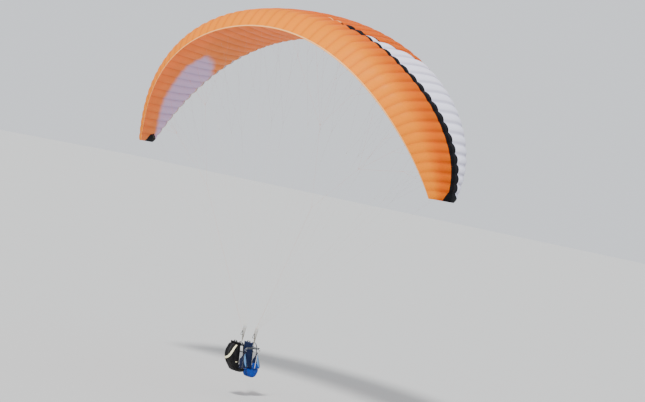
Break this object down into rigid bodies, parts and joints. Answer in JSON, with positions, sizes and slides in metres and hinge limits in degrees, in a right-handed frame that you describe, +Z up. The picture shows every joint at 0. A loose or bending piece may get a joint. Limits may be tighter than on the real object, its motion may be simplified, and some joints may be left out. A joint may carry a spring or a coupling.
{
  "type": "tandem paraglider",
  "caption": "Tandem paraglider as flown: ram-air canopy of open cells, lines, risers, two spreader bars and two seat harnesses.",
  "frame": {"origin": "on the canopy's lower skin at its centre rib, 30% of the chord behind the leading edge", "axes": "+X forward in flight, +Y to the pilot's left, +Z up"},
  "size_m": [3.3736, 11.2608, 10.5104],
  "materials": {
    "canopy_cloth": "satin",
    "line_cord": "matte",
    "riser_webbing": "matte",
    "handle_webbing": "matte",
    "carabiner_alloy": "satin",
    "bar_alloy": "satin",
    "strap_webbing": "matte",
    "black_cloth": "matte",
    "navy_cloth": "matte",
    "blue_cloth": "matte"
  },
  "bodies": {
    "wing_and_lines": {"brake_handle_left": "handle_webbing", "brake_handle_right": "handle_webbing", "canopy_left_1": "canopy_cloth", "canopy_left_2": "canopy_cloth", "canopy_left_3": "canopy_cloth", "canopy_left_4": "canopy_cloth", "canopy_left_5": "canopy_cloth", "canopy_right_1": "canopy_cloth", "canopy_right_2": "canopy_cloth", "canopy_right_3": "canopy_cloth", "canopy_right_4": "canopy_cloth", "canopy_right_5": "canopy_cloth", "line_a1_left": "line_cord", "line_a1_right": "line_cord", "line_a2_left": "line_cord", "line_a2_right": "line_cord", "line_a3_left": "line_cord", "line_a3_right": "line_cord", "line_b1_left": "line_cord", "line_b1_right": "line_cord", "line_b2_left": "line_cord", "line_b2_right": "line_cord", "line_b3_left": "line_cord", "line_b3_right": "line_cord", "line_brake_left": "line_cord", "line_brake_right": "line_cord", "line_c1_left": "line_cord", "line_c1_right": "line_cord", "line_c2_left": "line_cord", "line_c2_right": "line_cord", "line_c3_left": "line_cord", "line_c3_right": "line_cord", "line_tip_left": "line_cord", "line_tip_right": "line_cord", "main_carabiner_left": "carabiner_alloy", "main_carabiner_right": "carabiner_alloy", "riser_left": "riser_webbing", "riser_right": "riser_webbing"},
    "spreader_bars": {"spreader_bar_left": "bar_alloy", "spreader_bar_right": "bar_alloy"},
    "pilot_harness": {"pilot_back": "black_cloth", "pilot_bag": "black_cloth", "pilot_carabiner_left": "carabiner_alloy", "pilot_carabiner_right": "carabiner_alloy", "pilot_leg_straps": "strap_webbing", "pilot_seat": "navy_cloth", "pilot_shoulder_straps": "strap_webbing", "pilot_side_left": "black_cloth", "pilot_side_right": "black_cloth"},
    "passenger_harness": {"passenger_back": "navy_cloth", "passenger_bag": "blue_cloth", "passenger_carabiner_left": "carabiner_alloy", "passenger_carabiner_right": "carabiner_alloy", "passenger_leg_straps": "strap_webbing", "passenger_seat": "blue_cloth", "passenger_shoulder_straps": "strap_webbing", "passenger_side_left": "navy_cloth", "passenger_side_right": "navy_cloth"}
  },
  "joints": [
    {"name": "spreader_swing", "type": "hinge", "parent": "wing_and_lines", "child": "spreader_bars", "pos_m": [-0.336, 0, -9.01967], "axis": [0, 1, 0], "range_deg": [-25, 25]},
    {"name": "pilot_swing", "type": "hinge", "parent": "spreader_bars", "child": "pilot_harness", "pos_m": [-0.626, 0, -9.04967], "axis": [0, 1, 0], "range_deg": [-6, 45]},
    {"name": "passenger_swing", "type": "hinge", "parent": "spreader_bars", "child": "passenger_harness", "pos_m": [-0.046, 0, -9.04967], "axis": [0, 1, 0], "range_deg": [-45, 6]}
  ]
}
